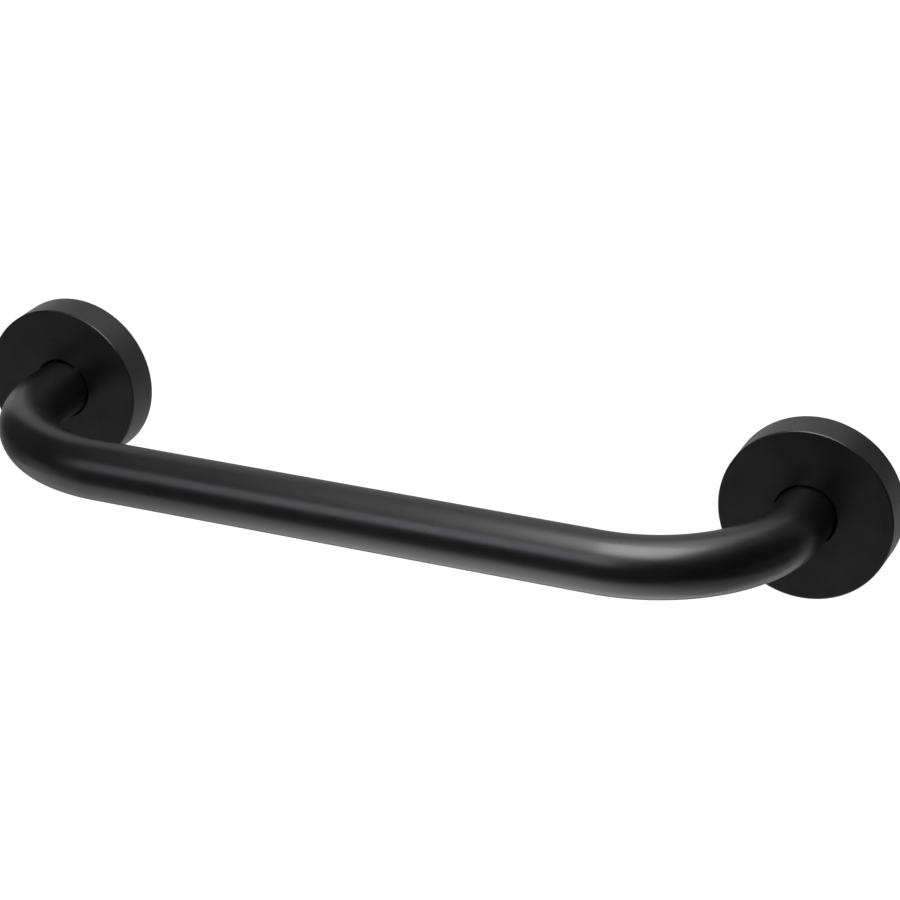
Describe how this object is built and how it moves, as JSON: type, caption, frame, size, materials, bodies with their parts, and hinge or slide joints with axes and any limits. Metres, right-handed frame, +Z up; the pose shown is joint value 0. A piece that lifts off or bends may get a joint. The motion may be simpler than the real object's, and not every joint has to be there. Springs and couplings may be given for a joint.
{
  "type": "grab bar",
  "caption": "Round tube grab bar with bent ends, whose legs pass through sliding round covers that hide the plates screwed to the wall.",
  "frame": {"origin": "on the wall face, midway between the axes of the legs", "axes": "+X along the bar to the right, +Y out of the back of the plates into the wall, +Z up"},
  "size_m": [0.413, 0.1005, 0.073],
  "materials": {
    "black_coat": "matte black powder coat on steel"
  },
  "bodies": {
    "bar": {"bar_tube": "black_coat", "left_wall_plate": "black_coat", "right_wall_plate": "black_coat", "left_weld": "black_coat", "right_weld": "black_coat"},
    "left_cover": {"left_cover": "black_coat"},
    "right_cover": {"right_cover": "black_coat"}
  },
  "joints": [
    {"name": "left_cover_slide", "type": "slide", "parent": "bar", "child": "left_cover", "axis": [0, -1, 0], "range_m": [0, 0.018]},
    {"name": "right_cover_slide", "type": "slide", "parent": "bar", "child": "right_cover", "axis": [0, -1, 0], "range_m": [0, 0.018]}
  ]
}
